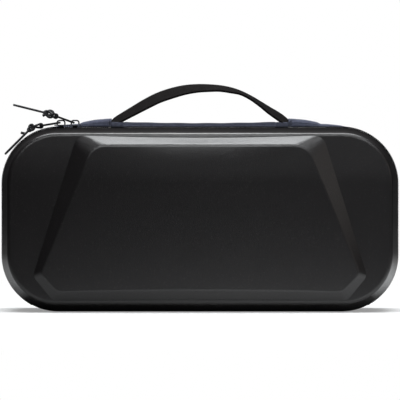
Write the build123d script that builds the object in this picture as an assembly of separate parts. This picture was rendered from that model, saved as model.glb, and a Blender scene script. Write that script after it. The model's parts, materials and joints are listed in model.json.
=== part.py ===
"""Moulded zip-round carrying case for a handheld game console, standing on its hinge edge.

Frame: X to the right, Y towards the back, Z up. The origin is on the floor under the middle of the case,
and the two shells part at y = 0. All sizes are in millimetres.
"""
from build123d import *
from math import atan2, cos, degrees, radians, sin, tan
import os

# Case outline, measured at the rims of the two shells.
CASE_W = 317.0
CASE_H = 147.0
CORNER_R = 45.0
WALL = 4.0

# Front shell: straight rim, then drafted walls up to the flat wings beside the raised panel.
RIM_Y = 9.0
FRONT_RIM_FLAT = 7.0
FRONT_WING_Y = 36.0
FRONT_INSET_SIDE = 5.5
FRONT_INSET_TOP = 4.2
FRONT_INSET_BOTTOM = 7.0
FRONT_EDGE_R = 3.2

# Raised panel of the front shell: its foot on the wings and its own face. Each corner is placed from the
# nearest sides of the case outline, the rises are above the wings and the bows bend the edges upwards.
PANEL_RISE_TOP = 8.0
PANEL_RISE_BOTTOM = 4.4
PANEL_FOOT_TOP_DROP = 6.0
PANEL_FOOT_TOP_IN = 60.5
PANEL_FOOT_SIDE_UP = 29.0
PANEL_FOOT_SIDE_IN = 25.5
PANEL_FOOT_BOTTOM_UP = 9.4
PANEL_FOOT_BOTTOM_IN = 41.5
PANEL_FACE_TOP_DROP = 13.8
PANEL_FACE_TOP_IN = 73.5
PANEL_FACE_SIDE_UP = 31.0
PANEL_FACE_SIDE_IN = 31.5
PANEL_FACE_BOTTOM_UP = 16.5
PANEL_FACE_BOTTOM_IN = 45.5
PANEL_FOOT_TOP_BOW = -1.8
PANEL_FACE_TOP_BOW = 0.4
PANEL_BOTTOM_BOW = 1.4
PANEL_FOOT_CORNER_R = 10.0
PANEL_FACE_CORNER_R = 18.0
PANEL_LOWER_CORNER_R = 7.0
PANEL_EDGE_R = 3.0
PANEL_ROOT = 1.0
PANEL_INNER_SHRINK = 2.6

# Rear shell: a deeper straight rim, so that the handle has a flat seat, and a plain back.
REAR_RIM_FLAT = 18.0
REAR_BACK_Y = 44.0
REAR_INSET = 5.5
REAR_EDGE_R = 7.0

# Edge piping, zip and hinge, as rings that follow the rim outline. Offsets are outwards from that outline.
PIPING_Y = 6.0
PIPING_OUT = -0.2
PIPING_IN = -3.2
PIPING_EDGE_R = 1.3
TAPE_OUT = -0.4
TAPE_T = 0.8
COIL_GAP = 1.2
COIL_W = 2.3
COIL_T = 1.8
COIL_EDGE_R = 0.7
ZIP_END_ANGLE = 28.0
ZIP_STOP_ANGLE = 3.0
HINGE_GAP_ANGLE = 3.0
HINGE_CLEAR = 0.3
BINDING_T = 1.0
BINDING_Y = 4.2
BINDING_DEPTH = 9.0
SEAT = 0.05

# Zip sliders and their pull tabs.
SLIDER_L = 10.6
SLIDER_W = 8.6
SLIDER_NOSE_W = 6.2
PLATE_T = 0.9
PLATE_CLEAR = 0.35
LOW_PLATE_CLEAR = 0.9
POST_L = 4.0
POST_W = 0.8
BAIL_L = 7.2
BAIL_H = 3.9
BAIL_BAR = 1.1
BAIL_W = 2.0
LEFT_SLIDER_FROM_CORNER = 1.7
SLIDER_STEP = 11.3
PIVOT_X = -1.2
PIVOT_Z = 1.6
TAB_L = 17.0
TAB_W = 5.2
TAB_T = 1.3
TAB_END_BAR = 1.2
TAB_EYE_L = 3.6
TAB_EYE_W = 2.8
TAB_HOLE_R = 1.3
TAB_HOLE_INSET = 2.5
RIGHT_TAB_ANGLE = 160.0
LEFT_TAB_ANGLE = 189.5

# Cord loops on the pull tabs. The route runs from the knot out to the loop's end and back, in the plane of
# the cord's own direction and Y.
CORD_D = 1.8
CORD_ROUTE = [(2.0, 1.2), (10.5, 2.2), (19.0, 3.4), (26.5, 3.0), (30.0, 0.0)]
RIGHT_CORD_ANGLE = 166.0
LEFT_CORD_ANGLE = 220.0
KNOT_L = 10.0
KNOT_D = 6.0
KNOT_END_R = 2.6
KNOT_REACH = 7.1
FILLET_SHARE = 0.45

# Handle: webbing that rises from two sewn patches on the rear shell's flat top. Its bow gives X as a share of
# the half length, the height above the shell's top and the lean to the front in degrees, from left to right.
HANDLE_Y = 17.9
WEBBING_W = 16.0
WEBBING_T = 1.8
HANDLE_HALF = 71.5
HANDLE_TAIL = 18.0
HANDLE_TAIL_LIFT = 0.5
HANDLE_BOW = [(-0.958, 3.4, 2), (-0.867, 8.8, 10), (-0.755, 13.9, 19), (-0.615, 19.4, 25), (-0.476, 24.4, 27),
              (-0.329, 28.1, 27), (-0.178, 30.9, 24), (-0.042, 32.2, 20), (0.084, 32.5, 17), (0.224, 32.2, 13),
              (0.35, 30.7, 11), (0.462, 28.3, 9), (0.573, 24.4, 8), (0.685, 19.2, 9), (0.783, 14.0, 11),
              (0.881, 8.5, 8), (0.965, 3.3, 2)]
PATCH_L = 24.0
PATCH_W = 18.0
PATCH_T = 1.6
PATCH_RISE = 7.6
PATCH_MID_RISE = 6.2
PATCH_END_RISE = 2.8
TONGUE_L = 17.5
TONGUE_TIP_RISE = 0.9
STRIP_W = 17.4
STRIP_T = 4.0
STRIP_END_T = 5.0
STRIP_GAP = 9.0
STRIP_LIP_T = 0.55

# Lined foam cradle in the rear shell and mesh pocket in the front shell.
CRADLE_FRONT_Y = 13.0
CRADLE_CLEAR = 0.4
POCKET_SIDE_WALL = 16.5
POCKET_TOP_WALL = 17.5
POCKET_R = 40.0
POCKET_FLOOR_Y = 34.0
FINGER_NOTCH_R = 16.0
FINGER_NOTCH_Y = 24.0
MESH_T = 0.8
MESH_TOP_DROP = 51.0
MESH_DIP = 8.0
MESH_HEM_W = 8.0
MESH_HEM_T = 1.0

MID_Z = CASE_H / 2
CORNER_X = CASE_W / 2 - CORNER_R
CORNER_Z = CASE_H - CORNER_R
TAPE_IN = TAPE_OUT - TAPE_T
COIL_TOP = TAPE_OUT + COIL_T
LEFT_SLIDER_X = LEFT_SLIDER_FROM_CORNER - CORNER_X
RIGHT_SLIDER_X = LEFT_SLIDER_X + SLIDER_STEP
MESH_Y = -BINDING_Y - BINDING_DEPTH


# Helpers for the rim outline and what runs round it.
def depth_plane(y):
    """A plane that faces the front at depth y, with its centre at mid height."""
    return Plane(origin=(0, y, MID_Z), x_dir=(1, 0, 0), z_dir=(0, -1, 0))


def outline(offset=0.0):
    """The rim outline of the case, grown outwards by offset."""
    return RectangleRounded(CASE_W + 2 * offset, CASE_H + 2 * offset, CORNER_R + offset)


def inset_outline(side, top, bottom):
    """The rim outline drawn in by its own amount at the sides, the top and the bottom."""
    face = RectangleRounded(CASE_W - 2 * side, CASE_H - top - bottom, CORNER_R - side)
    return Pos(0, (bottom - top) / 2) * face


def prism(face, y_front, y_back):
    """The face, drawn on a depth plane, run straight from y_front to y_back."""
    return extrude(depth_plane(y_back) * face, y_back - y_front, dir=(0, -1, 0))


def ring(y_front, y_back, outer, inner):
    """A band round the whole case between two offsets of the rim outline."""
    return prism(outline(outer) - outline(inner), y_front, y_back)


def outer_edges(band, outer, y):
    """The edges of a band that lie on its outer offset at depth y."""
    def on_outer(edge):
        point = edge @ 0.5
        reach_x = abs(abs(point.X) - CASE_W / 2 - outer)
        reach_z = abs(abs(point.Z - MID_Z) - CASE_H / 2 - outer)
        corner = Vector(abs(point.X) - CORNER_X, abs(point.Z - MID_Z) - (CORNER_Z - MID_Z))
        at_corner = corner.X > 0 and corner.Y > 0 and abs(corner.length - CORNER_R - outer) < 0.01
        return abs(point.Y - y) < 0.01 and (min(reach_x, reach_z) < 0.01 or at_corner)
    return [edge for edge in band.edges() if on_outer(edge)]


def base_wedge(angle, reach=CASE_H):
    """The space under the case between the two rays that leave the lower corners' centres at that angle."""
    spread = tan(radians(angle)) * (CORNER_R + reach)
    points = [(-CORNER_X, CORNER_R - MID_Z), (-CORNER_X - spread, -reach - MID_Z),
              (CORNER_X + spread, -reach - MID_Z), (CORNER_X, CORNER_R - MID_Z)]
    return prism(Polygon(*points, align=None), -CASE_H, CASE_H)


def mirrored(shape):
    """The same shape on the other side of the parting plane."""
    return mirror(shape, Plane.XZ)


# Shells.
def drafted_block(rim_y, flat, back_y, rim_face, back_face):
    """A block from rim_y towards back_y, with a straight rim and walls that draw in to the back face."""
    bend_y = rim_y + flat
    straight = prism(rim_face, rim_y, bend_y)
    drawn = loft([depth_plane(bend_y) * rim_face, depth_plane(back_y) * back_face], ruled=True)
    return straight + drawn


def panel_face(top_drop, top_in, side_up, side_in, bottom_up, bottom_in, upper_r, top_bow):
    """The raised panel's outline: a trapezium with clipped lower corners and bowed top and bottom edges."""
    top, side, bottom = CASE_H - top_drop - MID_Z, side_up - MID_Z, bottom_up - MID_Z
    top_half, side_half, bottom_half = (CASE_W / 2 - inset for inset in (top_in, side_in, bottom_in))
    points = [(-top_half, top), (top_half, top), (side_half, side),
              (bottom_half, bottom), (-bottom_half, bottom), (-side_half, side)]
    edges = [Line(points[i], points[(i + 1) % 6]) for i in (1, 2, 4, 5)]
    edges.append(ThreePointArc(points[0], (0, top + top_bow), points[1]))
    edges.append(ThreePointArc(points[3], (0, bottom + PANEL_BOTTOM_BOW), points[4]))
    face = make_face(edges)
    upper = [v for v in face.vertices() if abs(v.Y - top) < 0.01]
    face = fillet(upper, upper_r)
    lower = [v for v in face.vertices() if min((Vector(v) - Vector(*p)).length for p in points[2:]) < 0.01]
    return fillet(lower, PANEL_LOWER_CORNER_R)


def panel_block(shrink, sink):
    """The raised panel from the wings up to its own sloping face, drawn in and sunk for the inner side."""
    foot = panel_face(PANEL_FOOT_TOP_DROP + shrink, PANEL_FOOT_TOP_IN + shrink, PANEL_FOOT_SIDE_UP + shrink,
                      PANEL_FOOT_SIDE_IN + shrink, PANEL_FOOT_BOTTOM_UP + shrink,
                      PANEL_FOOT_BOTTOM_IN + shrink, PANEL_FOOT_CORNER_R, PANEL_FOOT_TOP_BOW)
    face = panel_face(PANEL_FACE_TOP_DROP + shrink, PANEL_FACE_TOP_IN + shrink, PANEL_FACE_SIDE_UP + shrink,
                      PANEL_FACE_SIDE_IN + shrink, PANEL_FACE_BOTTOM_UP + shrink,
                      PANEL_FACE_BOTTOM_IN + shrink, PANEL_FACE_CORNER_R, PANEL_FACE_TOP_BOW)
    wing_y = -FRONT_WING_Y + sink
    face_top, face_bottom = CASE_H - PANEL_FACE_TOP_DROP, PANEL_FACE_BOTTOM_UP
    face_mid = (face_top + face_bottom) / 2 - MID_Z
    rise_mid = (PANEL_RISE_TOP + PANEL_RISE_BOTTOM) / 2
    lean = degrees(atan2(PANEL_RISE_TOP - PANEL_RISE_BOTTOM, face_top - face_bottom))
    lift = Pos(0, wing_y - rise_mid, MID_Z + face_mid) * Rot(X=lean) * Pos(0, 0, -face_mid)
    raised = loft([depth_plane(wing_y) * foot, lift * (Plane.XZ * face)], ruled=True)
    top = raised.faces().sort_by(Axis.Y)[0]
    return fillet(top.edges(), PANEL_EDGE_R) + prism(foot, wing_y, wing_y + PANEL_ROOT)


def front_shell():
    """The front half: a thermoformed tray whose panel stands out between two flat wings."""
    block = mirrored(drafted_block(RIM_Y, FRONT_RIM_FLAT, FRONT_WING_Y, outline(),
                                   inset_outline(FRONT_INSET_SIDE, FRONT_INSET_TOP, FRONT_INSET_BOTTOM)))
    block = fillet(block.faces().sort_by(Axis.Y)[0].edges(), FRONT_EDGE_R)
    hollow = mirrored(drafted_block(
        RIM_Y, FRONT_RIM_FLAT, FRONT_WING_Y - WALL, outline(-WALL),
        inset_outline(FRONT_INSET_SIDE + WALL, FRONT_INSET_TOP + WALL, FRONT_INSET_BOTTOM + WALL)))
    return (block + panel_block(0, 0)) - (hollow + panel_block(PANEL_INNER_SHRINK, WALL))


def rear_shell():
    """The rear half: a plain deep tray."""
    block = drafted_block(RIM_Y, REAR_RIM_FLAT, REAR_BACK_Y, outline(),
                          inset_outline(REAR_INSET, REAR_INSET, REAR_INSET))
    block = fillet(block.faces().sort_by(Axis.Y)[-1].edges(), REAR_EDGE_R)
    inner = REAR_INSET + WALL
    hollow = drafted_block(RIM_Y, REAR_RIM_FLAT, REAR_BACK_Y - WALL, outline(-WALL),
                           inset_outline(inner, inner, inner))
    return block - hollow


# Bands between the shells. Each is made for the rear half and mirrored for the front.
def piping():
    """The welt sewn round a shell's rim."""
    band = ring(PIPING_Y, RIM_Y, PIPING_OUT, PIPING_IN)
    edges = outer_edges(band, PIPING_OUT, PIPING_Y) + outer_edges(band, PIPING_OUT, RIM_Y)
    return fillet(edges, PIPING_EDGE_R)


def zip_tape():
    """One half of the zip's tape, from the piping to the coil's inner edge, open over the hinge."""
    return ring(COIL_GAP / 2, PIPING_Y, TAPE_OUT, TAPE_IN) - base_wedge(ZIP_END_ANGLE)


def zip_coil():
    """One half of the coil, which stands on the tape's outer side and ends before the stop."""
    band = ring(COIL_GAP / 2, COIL_GAP / 2 + COIL_W, COIL_TOP, TAPE_OUT + SEAT)
    far_edges = outer_edges(band, COIL_TOP, COIL_GAP / 2 + COIL_W)
    return fillet(far_edges, COIL_EDGE_R) - base_wedge(ZIP_END_ANGLE + ZIP_STOP_ANGLE)


def zip_stop():
    """The stop that closes the right-hand end of the coil, crimped on the rear half of the tape."""
    band = ring(COIL_GAP / 2, COIL_GAP / 2 + COIL_W, COIL_TOP, TAPE_OUT + SEAT)
    right_side = Pos(CASE_W / 2, 0, 0) * Box(CASE_W, CASE_W, CASE_W)
    return (band & base_wedge(ZIP_END_ANGLE + ZIP_STOP_ANGLE) & right_side) - base_wedge(ZIP_END_ANGLE)


def hinge_strip():
    """The cloth hinge under the case, from one lower corner to the other."""
    band = ring(-PIPING_Y + HINGE_CLEAR, PIPING_Y, TAPE_OUT, TAPE_IN)
    return band & base_wedge(ZIP_END_ANGLE - HINGE_GAP_ANGLE)


def binding():
    """The tape that covers the raw seam inside a shell's rim."""
    return ring(BINDING_Y, BINDING_Y + BINDING_DEPTH, -WALL - SEAT, -WALL - BINDING_T)


# Zip sliders and pulls, made on a straight run of zip: x along it, z outwards from the rim outline.
def slider():
    """A slider: two plates joined by a post, with a bail on top for the pull tab."""
    top_z = COIL_TOP + PLATE_CLEAR
    low_z = TAPE_IN - LOW_PLATE_CLEAR - PLATE_T
    half, nose, tail = SLIDER_L / 2, SLIDER_NOSE_W / 2, SLIDER_W / 2
    shield = Polygon((-half, -tail), (half, -nose), (half, nose), (-half, tail), align=None)
    shield = fillet(shield.vertices(), nose / 2)
    top = extrude(Pos(0, 0, top_z) * shield, PLATE_T)
    top = fillet(top.faces().sort_by(Axis.Z)[-1].edges(), PLATE_T / 2)
    low = extrude(Pos(0, 0, low_z) * shield, PLATE_T)
    post = Pos(0, 0, (top_z + low_z) / 2) * Box(POST_L, POST_W, top_z - low_z)
    arch = RectangleRounded(BAIL_L, 2 * BAIL_H, BAIL_H * 0.6)
    arch -= RectangleRounded(BAIL_L - 2 * BAIL_BAR, 2 * (BAIL_H - BAIL_BAR), BAIL_H * 0.35)
    upper_half = Pos(0, 0, BAIL_H) * Box(BAIL_L, BAIL_W, 2 * BAIL_H)
    bail = extrude(Plane.XZ * arch, BAIL_W / 2, both=True) & upper_half
    return top + low + post + Pos(0, 0, top_z + PLATE_T) * bail


def slider_seat(x):
    """The place of a slider on the straight top of the zip."""
    return Pos(x, 0, CASE_H)


def pivot(x):
    """The point where a tab's end bar turns under the bail of the slider at x."""
    return Vector(x + PIVOT_X, 0, CASE_H + COIL_TOP + PLATE_CLEAR + PLATE_T + PIVOT_Z)


def heading(angle):
    """The direction at that angle above +X, seen from the front."""
    return Vector(cos(radians(angle)), 0, sin(radians(angle)))


def pull_tab(x, angle):
    """A flat tab with an eye round the bail and a hole for the cord."""
    back = -TAB_END_BAR / 2
    blade = Pos(back + TAB_L / 2, 0) * SlotOverall(TAB_L, TAB_W)
    eye = Pos(-back + TAB_EYE_L / 2, 0) * RectangleRounded(TAB_EYE_L, TAB_EYE_W, TAB_EYE_W / 4)
    square_end = Pos(back + TAB_W / 4, 0) * RectangleRounded(TAB_W / 2, TAB_W, TAB_END_BAR / 2)
    hole = Pos(back + TAB_L - TAB_HOLE_INSET, 0) * Circle(TAB_HOLE_R)
    tab = extrude(blade + square_end - eye - hole, TAB_T / 2, both=True)
    return Location(pivot(x)) * Rot(Y=-angle) * tab


def knot_centre(x, tab_angle):
    """The middle of the knot, just past the end of the tab."""
    return pivot(x) + heading(tab_angle) * (TAB_L - TAB_END_BAR / 2 - TAB_HOLE_INSET + KNOT_REACH)


def pull_knot(x, tab_angle, cord_angle):
    """The outer shape of the knot that ties the cord to the tab."""
    barrel = Rot(Y=90) * Cylinder(KNOT_D / 2, KNOT_L)
    barrel = fillet(barrel.edges().filter_by(GeomType.CIRCLE), KNOT_END_R)
    return Location(knot_centre(x, tab_angle)) * Rot(Y=-cord_angle) * barrel


def route_radii(points):
    """The largest fillet that each corner of a route has room for."""
    radii = []
    for before, here, after in zip(points, points[1:], points[2:]):
        run_in, run_out = here - before, after - here
        half_turn = radians(run_in.get_angle(run_out)) / 2
        radii.append(FILLET_SHARE * min(run_in.length, run_out.length) / tan(half_turn))
    return radii


def pull_cord(x, tab_angle, cord_angle):
    """The loop of cord that leaves the knot, turns round and comes back to it."""
    there = [Vector(u, v, 0) for u, v in CORD_ROUTE]
    back = [Vector(u, -v, 0) for u, v in reversed(CORD_ROUTE[:-1])]
    points = there + back
    radii = route_radii(points)
    print("cord radii", [round(r, 1) for r in radii])
    path = FilletPolyline(*points, radius=radii)
    start = Plane(origin=path @ 0, z_dir=path % 0)
    tube = sweep(start * Circle(CORD_D / 2), path=path)
    return Location(knot_centre(x, tab_angle)) * Rot(Y=-cord_angle) * tube


# Handle.
def handle_section(before, here, after):
    """The webbing's cross-section at one point of its path, square to the line between its neighbours."""
    slope = degrees(atan2(after[1] - before[1], after[0] - before[0]))
    place = Location((here[0], HANDLE_Y, CASE_H + here[1])) * Rot(Y=-slope) * Rot(X=here[2])
    return place * (Plane.YZ * Rectangle(WEBBING_W, WEBBING_T))


def handle_webbing():
    """The webbing strap: flat tails under the patches, and a bow between them that twists a little."""
    flat = WEBBING_T / 2 + HANDLE_TAIL_LIFT
    tail = [(HANDLE_HALF + HANDLE_TAIL * share, flat, 0) for share in (1, 0.55, 0.15)]
    bow = [(HANDLE_HALF * share, rise, lean) for share, rise, lean in HANDLE_BOW]
    path = [(-x, rise, lean) for x, rise, lean in tail] + bow + tail[::-1]
    ends = [path[0], *path, path[-1]]
    return loft([handle_section(*ends[i:i + 3]) for i in range(len(path))])


def patch_block(width, drop):
    """The patch's outer shape at the right-hand end of the handle, lowered by drop."""
    inner_x, outer_x = HANDLE_HALF, HANDLE_HALF + PATCH_L
    top, mid, end = (CASE_H + rise - drop for rise in (PATCH_RISE, PATCH_MID_RISE, PATCH_END_RISE))
    crown = ThreePointArc((inner_x, top), (inner_x + PATCH_L * 0.6, mid), (outer_x, end))
    profile = make_face([crown, Line((outer_x, end), (outer_x, CASE_H)),
                         Line((outer_x, CASE_H), (inner_x, CASE_H)), Line((inner_x, CASE_H), (inner_x, top))])
    return extrude(Pos(0, HANDLE_Y, 0) * (Plane.XZ * profile), width / 2, both=True)


def handle_patch():
    """The sewn cloth patch over the right-hand tail of the webbing, open towards the middle of the case."""
    tail_room = Pos(HANDLE_HALF, HANDLE_Y, CASE_H) * Box(2 * (HANDLE_TAIL + SEAT), PATCH_W, 2 * PATCH_RISE)
    hood = patch_block(PATCH_W, 0) - (patch_block(WEBBING_W + 2 * SEAT, PATCH_T) & tail_room)
    return hood + patch_tongue()


def patch_tongue():
    """The patch's thin outer end, which runs out along the case's top."""
    outer_x, tip_x = HANDLE_HALF + PATCH_L, HANDLE_HALF + PATCH_L + TONGUE_L
    profile = Polygon((outer_x - PATCH_T, 0), (tip_x, 0), (tip_x, TONGUE_TIP_RISE), (outer_x, PATCH_END_RISE),
                      (outer_x - PATCH_T, PATCH_END_RISE), align=None)
    return extrude(Pos(0, HANDLE_Y, CASE_H) * (Plane.XZ * profile), PATCH_W / 2, both=True)


def handle_strip():
    """The padded cloth strip on the case, with a thin front lip that runs on to the handle's two patches."""
    half = HANDLE_HALF - STRIP_GAP
    profile = make_face([Line((-half, 0), (half, 0)), Line((half, 0), (half, STRIP_END_T)),
                         ThreePointArc((half, STRIP_END_T), (0, STRIP_T), (-half, STRIP_END_T)),
                         Line((-half, STRIP_END_T), (-half, 0))])
    strip = extrude(Pos(0, HANDLE_Y, CASE_H) * (Plane.XZ * profile), STRIP_W / 2, both=True)
    reach = HANDLE_HALF - 2 * SEAT
    lip = Box(2 * reach, STRIP_LIP_T, STRIP_T, align=(Align.CENTER, Align.MIN, Align.MIN))
    return strip + Pos(0, HANDLE_Y - STRIP_W / 2, CASE_H) * lip


# Inside.
def cradle():
    """The lined foam block that holds the console, with finger notches above and below."""
    inner = REAR_INSET + WALL + CRADLE_CLEAR
    bend_y = RIM_Y + REAR_RIM_FLAT
    block = drafted_block(CRADLE_FRONT_Y, bend_y - CRADLE_FRONT_Y, REAR_BACK_Y - WALL,
                          outline(-WALL - CRADLE_CLEAR - BINDING_T), inset_outline(inner, inner, inner))
    pocket_w, pocket_h = CASE_W - 2 * POCKET_SIDE_WALL, CASE_H - 2 * POCKET_TOP_WALL
    pocket = prism(RectangleRounded(pocket_w, pocket_h, POCKET_R), CRADLE_FRONT_Y, POCKET_FLOOR_Y)
    notches = [prism(Pos(0, side * pocket_h / 2) * Circle(FINGER_NOTCH_R), CRADLE_FRONT_Y, FINGER_NOTCH_Y)
               for side in (-1, 1)]
    return block - pocket - notches[0] - notches[1]


def mesh_face(offset, drop=0.0):
    """The pocket's outline in the front shell: an inner offset of the rim, up to a dipped top edge."""
    half = CASE_W / 2
    top = CASE_H - MESH_TOP_DROP - drop - MID_Z
    below = make_face([Line((-half, -CASE_H), (half, -CASE_H)), Line((half, -CASE_H), (half, top)),
                       ThreePointArc((half, top), (0, top - MESH_DIP), (-half, top)),
                       Line((-half, top), (-half, -CASE_H))])
    return outline(offset) & below


def mesh_pocket():
    """The mesh sheet of the accessory pocket, sewn to the binding at the front shell's sides and bottom."""
    return prism(mesh_face(-WALL - 2 * SEAT), MESH_Y - MESH_T, MESH_Y)


def mesh_hem():
    """The elastic hem along the pocket's free top edge."""
    room = -WALL - BINDING_T - 2 * SEAT
    return prism(mesh_face(room) - mesh_face(room, MESH_HEM_W), MESH_Y, MESH_Y + MESH_HEM_T)


PARTS = {
    "front_shell": front_shell,
    "rear_shell": rear_shell,
    "rear_piping": piping,
    "front_piping": lambda: mirrored(piping()),
    "rear_zip_tape": zip_tape,
    "front_zip_tape": lambda: mirrored(zip_tape()),
    "rear_zip_coil": zip_coil,
    "front_zip_coil": lambda: mirrored(zip_coil()),
    "right_zip_stop": zip_stop,
    "left_zip_stop": lambda: mirror(zip_stop(), Plane.YZ),
    "hinge_strip": hinge_strip,
    "rear_binding": binding,
    "front_binding": lambda: mirrored(binding()),
    "right_slider": lambda: slider_seat(RIGHT_SLIDER_X) * slider(),
    "left_slider": lambda: slider_seat(LEFT_SLIDER_X) * slider(),
    "right_pull_tab": lambda: pull_tab(RIGHT_SLIDER_X, RIGHT_TAB_ANGLE),
    "left_pull_tab": lambda: pull_tab(LEFT_SLIDER_X, LEFT_TAB_ANGLE),
    "right_pull_knot": lambda: pull_knot(RIGHT_SLIDER_X, RIGHT_TAB_ANGLE, RIGHT_CORD_ANGLE),
    "left_pull_knot": lambda: pull_knot(LEFT_SLIDER_X, LEFT_TAB_ANGLE, LEFT_CORD_ANGLE),
    "right_pull_cord": lambda: pull_cord(RIGHT_SLIDER_X, RIGHT_TAB_ANGLE, RIGHT_CORD_ANGLE),
    "left_pull_cord": lambda: pull_cord(LEFT_SLIDER_X, LEFT_TAB_ANGLE, LEFT_CORD_ANGLE),
    "handle_webbing": handle_webbing,
    "right_handle_patch": handle_patch,
    "left_handle_patch": lambda: mirror(handle_patch(), Plane.YZ),
    "handle_strip": handle_strip,
    "cradle": cradle,
    "mesh_pocket": mesh_pocket,
    "mesh_hem": mesh_hem,
}

os.makedirs("parts", exist_ok=True)
for name, make in PARTS.items():
    export_step(make(), f"parts/{name}.step")
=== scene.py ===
"""Zip-round carrying case for a handheld game console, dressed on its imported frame.

Laid out as an add-on: each operator makes one piece or a group of like pieces, and a panel in the 3D view's
sidebar lists them. Lengths are in metres, in the frame's own axes: X to the right, Y to the back, Z up.
"""

import json
import math

import bpy
from bpy.props import FloatProperty, FloatVectorProperty, PointerProperty
from bpy.types import Operator, Panel, PropertyGroup
from mathutils import Matrix, Vector


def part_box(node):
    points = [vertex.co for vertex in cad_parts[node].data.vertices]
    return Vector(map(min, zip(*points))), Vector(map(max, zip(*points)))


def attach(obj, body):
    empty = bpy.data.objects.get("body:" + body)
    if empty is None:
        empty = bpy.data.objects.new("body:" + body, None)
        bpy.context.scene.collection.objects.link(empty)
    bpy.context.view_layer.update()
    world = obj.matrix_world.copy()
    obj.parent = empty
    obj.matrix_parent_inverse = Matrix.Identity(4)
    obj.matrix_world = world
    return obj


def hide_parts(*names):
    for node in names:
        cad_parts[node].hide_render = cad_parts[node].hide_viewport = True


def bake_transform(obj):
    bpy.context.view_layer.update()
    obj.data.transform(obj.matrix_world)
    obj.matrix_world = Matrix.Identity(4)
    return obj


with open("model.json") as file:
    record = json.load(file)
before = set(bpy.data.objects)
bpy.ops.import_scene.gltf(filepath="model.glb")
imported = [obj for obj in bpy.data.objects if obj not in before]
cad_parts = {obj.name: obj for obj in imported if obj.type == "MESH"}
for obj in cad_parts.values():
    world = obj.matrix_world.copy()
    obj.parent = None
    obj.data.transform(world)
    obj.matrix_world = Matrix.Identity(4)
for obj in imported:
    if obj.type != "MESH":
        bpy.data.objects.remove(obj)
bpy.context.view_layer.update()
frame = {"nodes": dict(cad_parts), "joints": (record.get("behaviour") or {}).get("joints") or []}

bl_info = {
    "name": "Console case",
    "version": (1, 0, 0),
    "blender": (4, 5, 0),
    "location": "View3D > Sidebar > Console Case",
    "description": "Builds a moulded zip-round case for a handheld game console",
    "category": "Add Mesh",
}

MM = 0.001
RIM_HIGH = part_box("rear_shell")[1]
HALF_W = RIM_HIGH.x
HEIGHT = RIM_HIGH.z
CORNER_R = 45 * MM
CORNER_X = HALF_W - CORNER_R
ARC = CORNER_R * math.pi / 2
SIDE = HEIGHT - 2 * CORNER_R
RIM_LENGTH = 4 * CORNER_X + 4 * ARC + 2 * SIDE
THREAD_WIDTH = 0.55 * MM
JOINTS = {joint["name"]: joint for joint in frame["joints"]}


def length_property(name, description, default, low, high):
    return FloatProperty(name=name, description=description, default=default, min=low, max=high,
                         unit="LENGTH")


def colour_property(name, description, default):
    return FloatVectorProperty(name=name, description=description, default=default, min=0, max=1,
                               subtype="COLOR")


class CaseSizes(PropertyGroup):
    """Lengths of the made pieces that a user may want to change."""
    tooth_pitch: length_property(
        "Tooth pitch", "Distance between neighbouring teeth on one half of the zip", 1.6 * MM, 1 * MM, 3 * MM)
    cord_width: length_property(
        "Cord width", "Diameter of the cord on the zip pulls", 1.8 * MM, 1 * MM, 3 * MM)
    webbing_width: length_property(
        "Webbing width", "Width of the handle's webbing", 16 * MM, 10 * MM, 20 * MM)
    webbing_thickness: length_property(
        "Webbing thickness", "Thickness of the handle's webbing", 1.7 * MM, 1 * MM, 3 * MM)
    stitch_length: length_property(
        "Stitch length", "Length of one stitch of the seams", 2.6 * MM, 1 * MM, 5 * MM)
    net_cell: length_property(
        "Net cell", "Width of one opening of the pocket's net", 2.6 * MM, 1 * MM, 6 * MM)
    camera_distance: length_property(
        "Camera distance", "Distance from the camera to the middle of the case", 3.0, 0.5, 10)


class CaseColours(PropertyGroup):
    """Base colours of the finishes."""
    coating: colour_property("Coating", "Satin coating of the two moulded shells", (0.0042, 0.0036, 0.0039))
    welt: colour_property("Welt", "Piping round the shells' rims", (0.008, 0.008, 0.009))
    navy: colour_property("Navy cloth", "Zip tape and the cloth at the handle's foot", (0.031, 0.034, 0.052))
    webbing: colour_property("Webbing", "Handle webbing", (0.0042, 0.0036, 0.0036))
    cord: colour_property("Cord", "Braided cord of the zip pulls", (0.012, 0.012, 0.014))
    metal: colour_property("Slider paint", "Paint of the zip sliders and tabs", (0.006, 0.006, 0.007))
    teeth: colour_property("Zip teeth", "Nylon teeth of the zip", (0.0035, 0.0035, 0.0045))
    lining: colour_property("Lining", "Brushed lining of the cradle", (0.045, 0.046, 0.050))
    binding: colour_property("Binding", "Seam bindings, hem and hinge cloth inside", (0.016, 0.016, 0.018))


# Shared modelling steps.
def sizes():
    return bpy.context.scene.case_sizes


def colours():
    return bpy.context.scene.case_colours


def pick_only(obj):
    """Selects one object and makes it the active one."""
    bpy.ops.object.select_all(action="DESELECT")
    obj.select_set(True)
    bpy.context.view_layer.objects.active = obj


def apply_modifier(obj, kind, **settings):
    """Adds a modifier with these settings and applies it."""
    pick_only(obj)
    modifier = obj.modifiers.new(kind.title(), kind)
    for name, value in settings.items():
        setattr(modifier, name, value)
    bpy.ops.object.modifier_apply(modifier=modifier.name)


def settle(obj):
    """Puts the object's place and size into its mesh."""
    pick_only(obj)
    bpy.ops.object.transform_apply(location=True, rotation=True, scale=True)


def outward(obj):
    """Merges doubles and turns the faces of a closed mesh outwards."""
    pick_only(obj)
    bpy.ops.object.mode_set(mode="EDIT")
    bpy.ops.mesh.select_all(action="SELECT")
    bpy.ops.mesh.remove_doubles(threshold=1e-6)
    bpy.ops.mesh.normals_make_consistent(inside=False)
    bpy.ops.object.mode_set(mode="OBJECT")


def reshape(obj, move):
    """Moves every vertex of the mesh to where move puts it."""
    for vertex in obj.data.vertices:
        vertex.co = move(vertex.co.copy())
    obj.data.update()


def smooth(obj, degrees=40):
    """Shades the piece smooth, with sharp edges from that angle on."""
    pick_only(obj)
    bpy.ops.object.shade_smooth_by_angle(angle=math.radians(degrees))


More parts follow.
